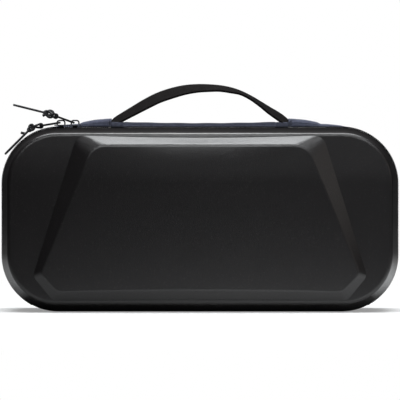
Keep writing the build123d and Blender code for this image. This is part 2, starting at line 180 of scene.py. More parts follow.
def bevel_all(offset, segments):
    """Bevels every edge of the active mesh."""
    bpy.ops.object.mode_set(mode="EDIT")
    bpy.ops.mesh.select_all(action="SELECT")
    bpy.ops.mesh.bevel(offset=offset, segments=segments, affect="EDGES")
    bpy.ops.object.mode_set(mode="OBJECT")


def repeat(obj, count, step):
    """Repeats the mesh that many times, each a step further."""
    apply_modifier(obj, "ARRAY", count=count, use_relative_offset=False, use_constant_offset=True,
                   constant_offset_displace=step)


def map_from_front(obj):
    """Gives the mesh a UV map in metres, as seen from the front."""
    for loop, uv in zip(obj.data.loops, obj.data.uv_layers.active.data):
        place = obj.data.vertices[loop.vertex_index].co
        uv.uv = (place.x, place.z)


def dress(obj, body, slot, material, *nodes):
    """Gives a finished piece its material and its body, and hides the nodes that it stands for; the slot is
    not used.
    """
    obj.data.materials.clear()
    obj.data.materials.append(material)
    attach(obj, body)
    if nodes:
        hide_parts(*nodes)
    return obj


def paint_node(node, material):
    """Gives a CAD node that stays in view its finish."""
    obj = frame["nodes"][node]
    obj.data.materials.clear()
    obj.data.materials.append(material)


def ribbon(name, low, high, along, across, thickness):
    """A flat ribbon in the XY plane between two corners: UV map in metres, thickness below it."""
    bpy.ops.object.select_all(action="DESELECT")
    bpy.ops.mesh.primitive_grid_add(x_subdivisions=along, y_subdivisions=across, size=1, calc_uvs=True)
    obj = bpy.context.object
    obj.name = name
    length, width = high[0] - low[0], high[1] - low[1]
    obj.location = ((low[0] + high[0]) / 2, (low[1] + high[1]) / 2, 0)
    obj.scale = (length, width, 1)
    settle(obj)
    for loop in obj.data.uv_layers.active.data:
        loop.uv = (loop.uv[0] * length, loop.uv[1] * width)
    if thickness:
        apply_modifier(obj, "SOLIDIFY", thickness=thickness, offset=-1)
    return obj


def rim_frame(distance):
    """Point and outward normal of the rim outline, that far clockwise from the middle of the bottom edge."""
    distance %= RIM_LENGTH
    side = -1 if distance <= RIM_LENGTH / 2 else 1
    s = min(distance, RIM_LENGTH - distance)
    if s < CORNER_X:
        x, z, nx, nz = s, 0, 0, -1
    elif s < CORNER_X + ARC:
        turn = (s - CORNER_X) / CORNER_R
        nx, nz = math.sin(turn), -math.cos(turn)
        x, z = CORNER_X + CORNER_R * nx, CORNER_R + CORNER_R * nz
    elif s < CORNER_X + ARC + SIDE:
        x, z, nx, nz = HALF_W, CORNER_R + s - CORNER_X - ARC, 1, 0
    elif s < CORNER_X + 2 * ARC + SIDE:
        turn = (s - CORNER_X - ARC - SIDE) / CORNER_R
        nx, nz = math.cos(turn), math.sin(turn)
        x, z = CORNER_X + CORNER_R * nx, HEIGHT - CORNER_R + CORNER_R * nz
    else:
        x, z, nx, nz = RIM_LENGTH / 2 - s, HEIGHT, 0, 1
    return side * x, z, side * nx, nz


def bend_to_rim(obj):
    """Bends a straight piece round the rim: x runs along the outline, y is depth and z points outwards."""
    def onto_rim(co):
        x, z, nx, nz = rim_frame(co.x)
        return Vector((x + nx * co.z, co.y, z + nz * co.z))
    reshape(obj, onto_rim)


def rim_ribbon(name, start, end, front, back, top, thickness, step=2.5 * MM, across=4):
    """A ribbon of cloth that follows the rim outline."""
    obj = ribbon(name, (start, front), (end, back), round((end - start) / step), across, thickness)
    reshape(obj, lambda co: co + Vector((0, 0, top)))
    bend_to_rim(obj)
    smooth(obj)
    return obj


def stitch(name, length, width):
    """One stitch of thread along X: a short round bar with drawn-in ends."""
    bpy.ops.object.select_all(action="DESELECT")
    bpy.ops.mesh.primitive_cylinder_add(vertices=6, radius=width / 2, depth=length,
                                        rotation=(0, math.pi / 2, 0))
    obj = bpy.context.object
    obj.name = name
    settle(obj)
    bevel_all(width * 0.3, 1)
    flatness = 0.8
    reshape(obj, lambda co: Vector((co.x, co.y, co.z * flatness)))
    return obj


def stitch_row(name, start, end, place):
    """A row of stitches from start to end along X, each bent to where place puts it."""
    length = sizes().stitch_length
    pitch = length * 1.3
    obj = stitch(name, length, THREAD_WIDTH)
    reshape(obj, lambda co: co + Vector((start + length / 2, 0, 0)))
    repeat(obj, max(1, int((end - start) / pitch)), (pitch, 0, 0))
    reshape(obj, place)
    outward(obj)
    smooth(obj, 60)
    return obj


def join_into(target, *others):
    """Joins finished meshes into one piece."""
    pick_only(target)
    for other in others:
        other.select_set(True)
    bpy.ops.object.join()
    return target


# Shader helpers.
def wire(tree, source, target):
    tree.links.new(source, target)


def math_node(tree, operation, first, second=None):
    """A Math node whose inputs are sockets or numbers."""
    node = tree.nodes.new("ShaderNodeMath")
    node.operation = operation
    for socket, value in zip(node.inputs, (first, second)):
        if isinstance(value, bpy.types.NodeSocket):
            wire(tree, value, socket)
        elif value is not None:
            socket.default_value = value
    return node.outputs[0]


def times(tree, first, second):
    return math_node(tree, "MULTIPLY", first, second)


def absolute(tree, value):
    return math_node(tree, "ABSOLUTE", value)


def vector_node(tree, operation, first, second=None):
    """A Vector Math node whose inputs are sockets or three numbers."""
    node = tree.nodes.new("ShaderNodeVectorMath")
    node.operation = operation
    for socket, value in zip(node.inputs, (first, second)):
        if isinstance(value, bpy.types.NodeSocket):
            wire(tree, value, socket)
        elif value is not None:
            socket.default_value = value
    return node


def axes_of(tree, vector):
    """The X, Y and Z of a vector."""
    node = tree.nodes.new("ShaderNodeSeparateXYZ")
    wire(tree, vector, node.inputs[0])
    return node.outputs["X"], node.outputs["Y"], node.outputs["Z"]


def map_range(tree, value, low, high, to_low, to_high):
    node = tree.nodes.new("ShaderNodeMapRange")
    wire(tree, value, node.inputs["Value"])
    for name, number in (("From Min", low), ("From Max", high), ("To Min", to_low), ("To Max", to_high)):
        node.inputs[name].default_value = number
    return node.outputs["Result"]


def noise(tree, vector, scale, detail=2.0, roughness=0.5):
    node = tree.nodes.new("ShaderNodeTexNoise")
    wire(tree, vector, node.inputs["Vector"])
    if isinstance(scale, bpy.types.NodeSocket):
        wire(tree, scale, node.inputs["Scale"])
    else:
        node.inputs["Scale"].default_value = scale
    node.inputs["Detail"].default_value = detail
    node.inputs["Roughness"].default_value = roughness
    return node.outputs["Fac"]


def mix_colour(tree, factor, first, second):
    """A Mix node between two colours, each a socket or three numbers."""
    node = tree.nodes.new("ShaderNodeMix")
    node.data_type = "RGBA"
    wire(tree, factor, node.inputs["Factor"])
    colour_sockets = [socket for socket in node.inputs if socket.type == "RGBA"]
    for socket, colour in zip(colour_sockets, (first, second)):
        if isinstance(colour, bpy.types.NodeSocket):
            wire(tree, colour, socket)
        else:
            socket.default_value = (*colour, 1)
    return [socket for socket in node.outputs if socket.type == "RGBA"][0]


def new_group(name, inputs, outputs):
    """An empty shader group with these named sockets, and its input and output nodes."""
    tree = bpy.data.node_groups.new(name, "ShaderNodeTree")
    for socket, kind in inputs:
        tree.interface.new_socket(socket, in_out="INPUT", socket_type=kind)
    for socket in outputs:
        tree.interface.new_socket(socket, in_out="OUTPUT", socket_type="NodeSocketFloat")
    return tree, tree.nodes.new("NodeGroupInput"), tree.nodes.new("NodeGroupOutput")


def grain_group():
    """Fine pebbled grain of a coated foam, its slow mottling and pale specks of lint."""
    tree, given, result = new_group(
        "Pebble grain", [("Vector", "NodeSocketVector"), ("Scale", "NodeSocketFloat")],
        ["Height", "Mottle", "Speck"])
    place, scale = given.outputs["Vector"], given.outputs["Scale"]
    fine = noise(tree, place, scale, 3.0, 0.65)
    slow = noise(tree, place, times(tree, scale, 0.03), 3.0)
    specks = noise(tree, place, times(tree, scale, 0.55), 1.0)
    wire(tree, fine, result.inputs["Height"])
    wire(tree, slow, result.inputs["Mottle"])
    wire(tree, map_range(tree, specks, 0.62, 0.74, 0, 1), result.inputs["Speck"])
    return tree


def weave_group():
    """Plain weave from a vector in metres: thread height, and a shade that is painted shade, darker in the
    hollows between the threads, times a tone that varies at random from thread to thread.
    """
    tree, given, result = new_group(
        "Woven threads", [("Vector", "NodeSocketVector"), ("Threads per metre", "NodeSocketFloat")],
        ["Height", "Shade"])
    place, threads = given.outputs["Vector"], given.outputs["Threads per metre"]
    scaled = vector_node(tree, "SCALE", place)
    wire(tree, threads, scaled.inputs["Scale"])
    u, v, _ = axes_of(tree, scaled.outputs["Vector"])
    warp = absolute(tree, math_node(tree, "SINE", times(tree, u, math.pi)))
    weft = absolute(tree, math_node(tree, "SINE", times(tree, v, math.pi)))
    cell = math_node(tree, "ADD", math_node(tree, "FLOOR", u), math_node(tree, "FLOOR", v))
    over = absolute(tree, math_node(tree, "MODULO", cell, 2.0))
    under = math_node(tree, "SUBTRACT", 1.0, over)
    warp_top = times(tree, over, times(tree, warp, math_node(tree, "POWER", weft, 0.4)))
    weft_top = times(tree, under, times(tree, weft, math_node(tree, "POWER", warp, 0.4)))
    height = math_node(tree, "ADD", warp_top, weft_top)
    wire(tree, height, result.inputs["Height"])
    # Painted shade: the lower a thread lies between the others, the darker its shade; the streaks add tone
    # that varies at random.
    streaks = noise(tree, place, times(tree, threads, 0.25), 3)
    wire(tree, times(tree, map_range(tree, height, 0, 1, 0.35, 1), streaks), result.inputs["Shade"])
    return tree


def shared_group(name):
    """The named group, made the first time that it is asked for."""
    makers = {"Pebble grain": grain_group, "Woven threads": weave_group}
    return bpy.data.node_groups.get(name) or makers[name]()


def new_material(name):
    """A material with a Principled shader, and its tree and shader node."""
    material = bpy.data.materials.new(name)
    material.use_nodes = True
    return material, material.node_tree, material.node_tree.nodes["Principled BSDF"]


def place_group(tree, name, vector, **values):
    """Puts a shared group in a tree, with its vector and these values."""
    node = tree.nodes.new("ShaderNodeGroup")
    node.node_tree = shared_group(name)
    wire(tree, vector, node.inputs["Vector"])
    for socket, value in values.items():
        node.inputs[socket.replace("_", " ")].default_value = value
    return node


def bump(tree, shader, height, strength, distance):
    node = tree.nodes.new("ShaderNodeBump")
    node.inputs["Strength"].default_value = strength
    node.inputs["Distance"].default_value = distance
    wire(tree, height, node.inputs["Height"])
    wire(tree, node.outputs["Normal"], shader.inputs["Normal"])
    return node


def coordinates(tree, kind):
    return tree.nodes.new("ShaderNodeTexCoord").outputs[kind]


def lighter(colour, factor):
    return tuple(min(1.0, channel * factor) for channel in colour)


def tinted(tree, grain, speck, colour, pale):
    """A colour that the grain's specks and mottling draw towards a paler one."""
    tint = math_node(tree, "ADD", times(tree, grain.outputs["Speck"], speck),
                     times(tree, grain.outputs["Mottle"], 0.12))
    return mix_colour(tree, tint, colour, pale)


def grained_material(name, colour, scale, roughness, specular, relief, speck=2.2):
    """Coated, moulded or painted finish with a fine grain and a few pale specks."""
    material, tree, shader = new_material(name)
    grain = place_group(tree, "Pebble grain", coordinates(tree, "Object"), Scale=scale)
    wire(tree, tinted(tree, grain, 0.5, colour, lighter(colour, speck)), shader.inputs["Base Color"])
    wire(tree, map_range(tree, grain.outputs["Mottle"], 0.3, 0.7, roughness - 0.02, roughness + 0.02),
         shader.inputs["Roughness"])
    shader.inputs["Specular IOR Level"].default_value = specular
    bump(tree, shader, grain.outputs["Height"], relief, GRAIN_DEPTH)
    return material


def nap_colour(tree, grain, lining):
    """The brushed lining's slow change of tone."""
    return mix_colour(tree, grain.outputs["Mottle"], lighter(lining, 0.85), lighter(lining, 1.2))


GRAIN_DEPTH = 0.3 * MM
# The shells' coating: its gloss, the depths between which it dulls by the zip, and the painted shade that
# darkens its colour there.
COATING_GLOSS = 0.42
DULL_TO, GLOSSY_FROM = 14 * MM, 33 * MM
ZIP_PAINTED_SHADE = 0.6
# How much duller the coating is at the case's two ends, on faces that look up.
END_DULLING = 0.4
END_FROM, END_TO = 20 * MM, 85 * MM
# Where the front starts to roll back towards its top, and how far it leans there at the middle and the sides.
CROWN_FROM, CROWN_TO = 103 * MM, 132 * MM
CROWN_MIDDLE, CROWN_SIDE = 22 * MM, 95 * MM
CROWN_LEAN, CROWN_SIDE_LEAN = 0.35, 0.17


def shell_material(name, colour, lining):
    """Satin coating outside, duller and darkened with painted shade by the zip along the top and bottom, and
    brushed lining inside.
    """
    material, tree, shader = new_material(name)
    place, normal = coordinates(tree, "Object"), coordinates(tree, "Normal")
    grain = place_group(tree, "Pebble grain", place, Scale=1500)
    outside = outside_mask(tree, place, normal)
    by_zip = zip_mask(tree, place, normal)
    coating = tinted(tree, grain, 0.7, colour, lighter(colour, 4.0))
    # Painted shade: by the zip, on faces that look up or down, the coating's colour is drawn towards black.
    outer = mix_colour(tree, times(tree, by_zip, ZIP_PAINTED_SHADE), coating, (0, 0, 0))
    wire(tree, mix_colour(tree, outside, nap_colour(tree, grain, lining), outer), shader.inputs["Base Color"])
    wire(tree, map_range(tree, outside, 0, 1, 0.95, 0.3), shader.inputs["Roughness"])
    gloss = times(tree, map_range(tree, by_zip, 0, 1, COATING_GLOSS, 0), end_gloss(tree, place, normal))
    wire(tree, gloss, shader.inputs["Specular IOR Level"])
    relief = bump(tree, shader, grain.outputs["Height"], 0.4, GRAIN_DEPTH)
    wire(tree, crown_normal(tree, place, normal), relief.inputs["Normal"])
    return material


def crown_normal(tree, place, normal):
    """The normal, leaning up a little on the front's upper part, where the moulding starts to roll back."""
    x, _, z = axes_of(tree, place)
    _, depth_share, _ = axes_of(tree, normal)
    share = map_range(tree, absolute(tree, x), CROWN_MIDDLE, CROWN_SIDE, CROWN_LEAN, CROWN_SIDE_LEAN)
    roll = math_node(tree, "POWER", map_range(tree, z, CROWN_FROM, CROWN_TO, 0, 1), 0.85)
    facing_front = map_range(tree, depth_share, -0.9, -0.99, 0, 1)
    lean = tree.nodes.new("ShaderNodeCombineXYZ")
    wire(tree, times(tree, times(tree, roll, share), facing_front), lean.inputs["Z"])
    leaning = vector_node(tree, "ADD", normal, lean.outputs["Vector"])
    turned = tree.nodes.new("ShaderNodeVectorTransform")
    turned.vector_type = "NORMAL"
    turned.convert_from, turned.convert_to = "OBJECT", "WORLD"
    wire(tree, leaning.outputs["Vector"], turned.inputs[0])
    return turned.outputs["Vector"]


def end_gloss(tree, place, normal):
    """1 over the middle and on upright faces, less on faces that look up towards the case's two ends."""
    x, _, _ = axes_of(tree, place)
    _, _, up_share = axes_of(tree, normal)
    far = map_range(tree, absolute(tree, x), END_FROM, END_TO, 0, END_DULLING)
    looking_up = map_range(tree, up_share, 0.15, 0.4, 0, 1)
    return math_node(tree, "SUBTRACT", 1, times(tree, far, looking_up))


def outside_mask(tree, place, normal):
    """1 on a face that looks away from the case's middle, and 0 on one that looks towards it."""
    from_middle = vector_node(tree, "SUBTRACT", place, (0, 0, HEIGHT / 2))
    facing = vector_node(tree, "DOT_PRODUCT", from_middle.outputs["Vector"], normal)
    return map_range(tree, facing.outputs["Value"], -0.5 * MM, 0.5 * MM, 0, 1)


def zip_mask(tree, place, normal):
    """1 by the zip on a face that looks up or down, fading to 0 towards the front or the back."""
    _, y, _ = axes_of(tree, place)
    _, _, up_share = axes_of(tree, normal)
    close = map_range(tree, absolute(tree, y), DULL_TO, GLOSSY_FROM, 1, 0)
    level = map_range(tree, absolute(tree, up_share), 0.2, 0.6, 0, 1)
    return times(tree, math_node(tree, "POWER", close, 0.5), level)


def woven_material(name, colour, threads, relief, sheen, kind, specular):
    """Woven cloth whose threads follow the piece's own UV map or place in metres, with a little sheen."""
    material, tree, shader = new_material(name)
    weave = place_group(tree, "Woven threads", coordinates(tree, kind), Threads_per_metre=threads)
    # The weave's shade darkens the colour in the hollows between threads, as painted shade, and varies its
    # tone at random.
    wire(tree, mix_colour(tree, weave.outputs["Shade"], lighter(colour, 0.45), lighter(colour, 2.0)),
         shader.inputs["Base Color"])
    shader.inputs["Roughness"].default_value = 0.85
    shader.inputs["Specular IOR Level"].default_value = specular
    shader.inputs["Sheen Weight"].default_value = sheen
    shader.inputs["Sheen Roughness"].default_value = 0.5
    bump(tree, shader, weave.outputs["Height"], relief, 0.25 * MM)
    return material


# Grained finishes: colour, scale of the grain, roughness, specular level, relief and paleness of the specks.
GRAINED = {
    "Welt": ("welt", 2500, 0.6, 0.1, 0.2, 2.2),
    "Slider paint": ("metal", 4000, 0.45, 0.25, 0.08, 1.6),
    "Zip teeth": ("teeth", 5000, 0.6, 0.06, 0.05, 1.5),
}
# Woven finishes: colour and a factor on it, threads a metre, relief, sheen, coordinates and specular level.
WOVEN = {
    "Zip tape": ("navy", 0.55, 2200, 0.6, 0.1, "UV", 0.12),
    "Navy cloth": ("navy", 0.88, 1800, 0.8, 0.08, "UV", 0.12),
    # Painted light: the patches' cloth is the strip's navy cloth painted lighter, 1.22 against 0.88, because
    # the patches' faces get little of the lamps' light.
    "Patch cloth": ("navy", 1.22, 1800, 0.8, 0.08, "UV", 0.12),
    "Webbing": ("webbing", 1.0, 900, 0.9, 0.0, "UV", 0.04),
    "Cord braid": ("cord", 1.0, 1500, 0.8, 0.3, "Object", 0.12),
    "Thread": ("binding", 1.0, 4000, 0.4, 0.3, "Object", 0.12),
    "Navy thread": ("navy", 1.6, 4000, 0.4, 0.3, "Object", 0.12),
    "Binding": ("binding", 1.0, 1600, 0.6, 0.1, "UV", 0.12),
}


def finish(name):
    """The named finish, made the first time that it is asked for."""
    made = bpy.data.materials.get(name)
    if made:
        return made
    hues = colours()
    if name == "Satin coating":
        return shell_material(name, hues.coating, hues.lining)
    if name in GRAINED:
        hue, *settings = GRAINED[name]
        return grained_material(name, getattr(hues, hue), *settings)
    hue, factor, *settings = WOVEN[name]
    return woven_material(name, lighter(getattr(hues, hue), factor), *settings)


# The camera: its height above the floor, its tilt, and the width at the case of one of the picture's pixels.
CAMERA_AIM = 89 * MM
CAMERA_TILT = math.radians(1.0)
PIXELS, PIXEL = 400, 0.805 * MM
SENSOR = 36


class CASE_OT_stage(Operator):
    """Add the floor, the lights, the white surround and the camera"""
    bl_idname = "case.stage"
    bl_label = "Stage and camera"

    def execute(self, context):
        self.floor()
        self.surround(context)
        self.lights()
        self.camera(context)
        context.scene.view_settings.view_transform = "Standard"
        return {"FINISHED"}

    def floor(self):
        bpy.ops.object.select_all(action="DESELECT")
        bpy.ops.mesh.primitive_circle_add(vertices=64, radius=9, fill_type="NGON")
        floor = bpy.context.object
        floor.name = "floor"
        material, tree, shader = new_material("Floor")
        shader.inputs["Roughness"].default_value = 0.9
        shader.inputs["Specular IOR Level"].default_value = 0.1
        glow = tree.nodes.new("ShaderNodeEmission")
        glow.inputs["Color"].default_value = (1, 1, 1, 1)
        place = coordinates(tree, "Object")
        distance = tree.nodes.new("ShaderNodeVectorMath")
        distance.operation = "LENGTH"
        wire(tree, place, distance.inputs[0])
        fade = map_range(tree, distance.outputs["Value"], 0.22, 0.6, 0.3, 1)
        axes = tree.nodes.new("ShaderNodeSeparateXYZ")
        wire(tree, place, axes.inputs[0])
        sweep = times(tree, map_range(tree, absolute(tree, axes.outputs["X"]), 0.3, 0.5, 1, 0),
                          map_range(tree, axes.outputs["Y"], 0.0, 0.4, 0, 1))
        rays = tree.nodes.new("ShaderNodeLightPath")
        mirrored = math_node(tree, "MAXIMUM", rays.outputs["Is Glossy Ray"],
                             rays.outputs["Is Transmission Ray"])
        # Painted light for the case: to all but camera rays, the floor is painted lighter in a pool just in
        # front of the case and darker towards its left, which lights the case's lower front and shades its
        # left side.
        painted_light_pool = times(tree, map_range(tree, distance.outputs["Value"], 0.2, 0.5, 1, 0),
                         map_range(tree, axes.outputs["Y"], -0.12, -0.06, 0.36, 0.68))
        painted_bounce = times(tree, math_node(tree, "ADD", painted_light_pool, 0.08),
                           map_range(tree, axes.outputs["X"], -0.2, 0.03, 0.45, 1))
        wire(tree, mix_colour(tree, rays.outputs["Is Camera Ray"], painted_bounce, (0.6, 0.6, 0.6)),
             shader.inputs["Base Color"])
        seen = math_node(tree, "MAXIMUM", rays.outputs["Is Camera Ray"], times(tree, mirrored, sweep))
        both = tree.nodes.new("ShaderNodeMixShader")
        wire(tree, times(tree, fade, seen), both.inputs[0])
        wire(tree, shader.outputs[0], both.inputs[1])
        wire(tree, glow.outputs[0], both.inputs[2])
        wire(tree, both.outputs[0], tree.nodes["Material Output"].inputs["Surface"])
        floor.data.materials.append(material)

    def surround(self, context):
        """A wide white backdrop behind the case, seen by camera and mirror rays alike, in a dim room."""
        world = bpy.data.worlds.new("Studio surround")
        context.scene.world = world
        world.use_nodes = True
        tree = world.node_tree
        tree.nodes.clear()
        axes = tree.nodes.new("ShaderNodeSeparateXYZ")
        wire(tree, coordinates(tree, "Generated"), axes.inputs[0])
        height = times(tree, absolute(tree, axes.outputs["Z"]), 0.15)
        backdrop = map_range(tree, math_node(tree, "SUBTRACT", axes.outputs["Y"], height), 0.955, 0.995, 0, 1)
        rays = tree.nodes.new("ShaderNodeLightPath")
        mirrored = math_node(tree, "MAXIMUM", rays.outputs["Is Glossy Ray"],
                             rays.outputs["Is Transmission Ray"])
        seen = math_node(tree, "MAXIMUM", rays.outputs["Is Camera Ray"], times(tree, mirrored, backdrop))
        strength = math_node(tree, "MAXIMUM", map_range(tree, axes.outputs["Z"], 0.2, 1.0, 0.03, 0.3), seen)
        glow = tree.nodes.new("ShaderNodeBackground")
        glow.inputs["Color"].default_value = (1, 1, 1, 1)
        wire(tree, strength, glow.inputs["Strength"])
        out = tree.nodes.new("ShaderNodeOutputWorld")
        wire(tree, glow.outputs[0], out.inputs["Surface"])

    def lights(self):
        cool, warm = (0.96, 0.985, 1.0), (1.0, 0.94, 0.88)
        for name, place, target, width, depth, power, colour in (
                ("overhead_softbox", (0, 0.02, 1.05), (0, 0.0, 0), 1.0, 0.42, 27, cool),
                ("front_softbox", (0.2, -0.7, 0.24), (0.05, -0.04, 0.12), 0.6, 0.06, 0.24, cool),
                ("top_strip", (0.05, -0.27, 0.42), (0, -0.02, 0.14), 0.7, 0.06, 1.6, cool),
                ("right_fill", (1.3, -0.7, 0.5), (0, 0, 0.08), 0.5, 0.7, 1.4, warm)):
            bpy.ops.object.light_add(type="AREA", location=place)
            lamp = bpy.context.object
            lamp.name = name
            lamp.rotation_euler = (Vector(target) - Vector(place)).to_track_quat("-Z", "Y").to_euler()
            lamp.data.shape = "RECTANGLE"
            lamp.data.size, lamp.data.size_y = width, depth
            lamp.data.energy = power
            lamp.data.color = colour

    def camera(self, context):
        distance = sizes().camera_distance
        aim = Vector((0, 0, CAMERA_AIM))
        place = aim + Vector((0, -math.cos(CAMERA_TILT), math.sin(CAMERA_TILT))) * distance
        bpy.ops.object.camera_add(location=place, rotation=(math.pi / 2 - CAMERA_TILT, 0, 0))
        camera = bpy.context.object
        camera.data.sensor_width = SENSOR
        camera.data.lens = SENSOR * distance / (PIXELS * PIXEL)
        camera.data.clip_end = 100
        context.scene.camera = camera


# The zip pulls: each has the angles of its tab and its cord loop, seen from the front, and its knot's
# distance and angle from the tab's pivot.
PULLS = {"right": (160.0, 166.0, 21.0 * MM, 160.0), "left": (189.5, 225.0, 23.3 * MM, 190.7)}
TAB_HOLE_FROM_PIVOT = 13.9 * MM
CORD_ROUTE = [(2.0, 1.2), (10.5, 2.2), (19.0, 3.4), (26.5, 3.0), (30.0, 0.0),
              (26.5, -3.0), (19.0, -3.4), (10.5, -2.2), (2.0, -1.2)]


def heading(degrees):
    """The direction at that angle above +X, seen from the front."""
    return Vector((math.cos(math.radians(degrees)), 0, math.sin(math.radians(degrees))))


def nurbs_cord(name, points, width):
    """A round cord along a smooth spline with these control points."""
    curve = bpy.data.curves.new(name, "CURVE")
    curve.dimensions = "3D"
    curve.bevel_depth = width / 2
    curve.bevel_resolution = 3
    curve.use_fill_caps = True
    spline = curve.splines.new("NURBS")
    spline.points.add(len(points) - 1)
    for point, place in zip(spline.points, points):
        point.co = (*place, 1)
    spline.order_u = 3
    spline.use_endpoint_u = True
    spline.resolution_u = 8
    obj = bpy.data.objects.new(name, curve)
    bpy.context.collection.objects.link(obj)
    return obj


class CASE_OT_pull_cords(Operator):
    """Add the cord loops on the zip pulls and the knots that tie them to the tabs"""
    bl_idname = "case.pull_cords"
    bl_label = "Cords and knots"

    def execute(self, context):
        width = sizes().cord_width
        for side, (tab_angle, cord_angle, knot_reach, knot_angle) in PULLS.items():
            pivot = Vector(JOINTS[f"{side}_tab_turn"]["pos_m"])
            centre = pivot + heading(knot_angle) * knot_reach
            along, across = heading(cord_angle), Vector((0, 1, 0))
            points = [centre + along * (u * MM) + across * (v * MM) for u, v in CORD_ROUTE]
            cord = nurbs_cord(f"{side}_cord_loop", points, width)
            knot = self.knot(side, pivot, centre, tab_angle, along, width)
            dress(cord, f"{side}_pull", "cord", finish("Cord braid"), f"{side}_pull_cord")
            dress(knot, f"{side}_pull", "cord", finish("Cord braid"), f"{side}_pull_knot")
            length = self.spline_length(cord)
        return {"FINISHED"}

    def spline_length(self, cord):
        """The length of the cord's own centreline."""
        bare = cord.data.copy()
        bare.bevel_depth = 0
        line = bpy.data.objects.new("centreline", bare)
        mesh = bpy.data.meshes.new_from_object(line)
        length = sum((mesh.vertices[a].co - mesh.vertices[b].co).length
                     for a, b in (edge.vertices for edge in mesh.edges))
        bpy.data.objects.remove(line)
        bpy.data.meshes.remove(mesh)
        return length

    def knot(self, side, pivot, centre, tab_angle, along, width):
        """An overhand knot drawn tight, with a cut end, and a neck of cord through the tab's hole."""
        across = Vector((0, 1, 0))
        up = along.cross(across)
        size = 1.25 * MM if side == "right" else 0.98 * MM
        turns = []
        for step in range(25):
            t = 2 * math.pi * step / 24
            reach = (2 + math.cos(3 * t)) * size
            turns.append(centre + along * (reach * math.cos(2 * t) * 1.2)
                         + up * (reach * math.sin(2 * t) * 0.82)
                         + across * (math.sin(3 * t) * size))
        body = nurbs_cord(f"{side}_knot", turns, width * 1.05)
        down_left = Vector((-0.9, 0, -0.42)) if side == "right" else Vector((-0.78, 0, 0.2))
        root = centre + (along * (1.0 * MM) if side == "right" else along * (6.5 * MM))
        tip = root + down_left * (4.6 * MM) - across * (1.6 * MM)
        end = nurbs_cord(f"{side}_end", [root, root.lerp(tip, 0.5) - across * (0.9 * MM), tip], width * 1.2)
        hole = pivot + heading(tab_angle) * TAB_HOLE_FROM_PIVOT
        lift, away = heading(tab_angle + 90), heading(tab_angle)
        neck = [centre - along * (1.5 * MM) + across * (0.8 * MM),
                hole + away * (3.4 * MM) + across * (0.9 * MM) + lift * (1.2 * MM),
                hole + away * (0.5 * MM) + across * (0.3 * MM) + lift * (1.7 * MM),
                hole - away * (0.1 * MM),
                hole + away * (0.5 * MM) - across * (0.3 * MM) - lift * (1.7 * MM),
                hole + away * (3.4 * MM) - across * (0.9 * MM) - lift * (1.2 * MM),
                centre - along * (1.5 * MM) - across * (0.8 * MM)]
        loop = nurbs_cord(f"{side}_neck", neck, width)
        for piece in (body, end, loop):
            pick_only(piece)
            bpy.ops.object.convert(target="MESH")
        return join_into(body, end, loop)


class CASE_OT_shells(Operator):
    """Give the two moulded shells and their piping their finishes"""
    bl_idname = "case.shells"
    bl_label = "Shells and piping"

    def execute(self, context):
        for node in ("front_shell", "rear_shell"):
            paint_node(node, finish("Satin coating"))
        for node in ("front_piping", "rear_piping"):
            paint_node(node, finish("Welt"))
        return {"FINISHED"}


ZIP_END = math.radians(28)
TOOTH_END = math.radians(31)
HINGE_END = math.radians(25)


class CASE_OT_zip(Operator):
    """Add the zip's woven tapes and teeth, the seams along them and the cloth hinge"""
    bl_idname = "case.zip"
    bl_label = "Zip and hinge"

    def execute(self, context):
        for half, side, body in (("rear", 1, "rear"), ("front", -1, "lid")):
            self.tape(half, side, body)
            self.teeth(half, side, body)
        for node in ("right_zip_stop", "left_zip_stop"):
            paint_node(node, finish("Slider paint"))
        self.hinge()
        return {"FINISHED"}

    def tape(self, half, side, body):
        start = CORNER_X + CORNER_R * ZIP_END
        end = RIM_LENGTH - start
        low, high = sorted((side * 0.6 * MM, side * 6.0 * MM))
        tape = rim_ribbon(f"{half}_tape", start, end, low, high, -0.4 * MM, 0.8 * MM)
        dress(tape, body, "tape_cloth", finish("Zip tape"), f"{half}_zip_tape")
        seam = stitch_row(f"{half}_tape_seam", start + 1 * MM, end - 1 * MM,
                          lambda co: co + Vector((0, side * 4.6 * MM, -0.35 * MM)))
        bend_to_rim(seam)
        dress(seam, body, "tape_cloth", finish("Thread"))

    def teeth(self, half, side, body):
        """One tooth with a swollen head, repeated along the tape and bent round the rim."""
        pitch = sizes().tooth_pitch
        bpy.ops.object.select_all(action="DESELECT")
        bpy.ops.mesh.primitive_cube_add(size=1)
        tooth = bpy.context.object
        tooth.name = f"{half}_teeth"
        tooth.scale = (pitch * 0.4, 3.3 * MM, 1.5 * MM)
        settle(tooth)
        bevel_all(pitch * 0.12, 1)
        reshape(tooth, lambda co: Vector((co.x * (1.12 if co.y < -1.2 * MM else 0.9), co.y, co.z)))
        first = CORNER_X + CORNER_R * TOOTH_END + (pitch / 2 if side < 0 else 0)
        reshape(tooth, lambda co: Vector((first + co.x, side * (co.y + 1.25 * MM), co.z + 0.55 * MM)))
        run = RIM_LENGTH - 2 * (CORNER_X + CORNER_R * TOOTH_END)
        repeat(tooth, int(run / pitch), (pitch, 0, 0))
        bend_to_rim(tooth)
        outward(tooth)
        smooth(tooth, 50)
        dress(tooth, body, "zip_coil", finish("Zip teeth"), f"{half}_zip_coil")

    def hinge(self):
        reach = CORNER_X + CORNER_R * HINGE_END
        strip = rim_ribbon("hinge_cloth", -reach, reach, -5.7 * MM, 6.0 * MM, -0.4 * MM, 0.8 * MM, across=14)
        strip.data.materials.append(finish("Zip tape"))
        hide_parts("hinge_strip")
        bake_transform(strip)


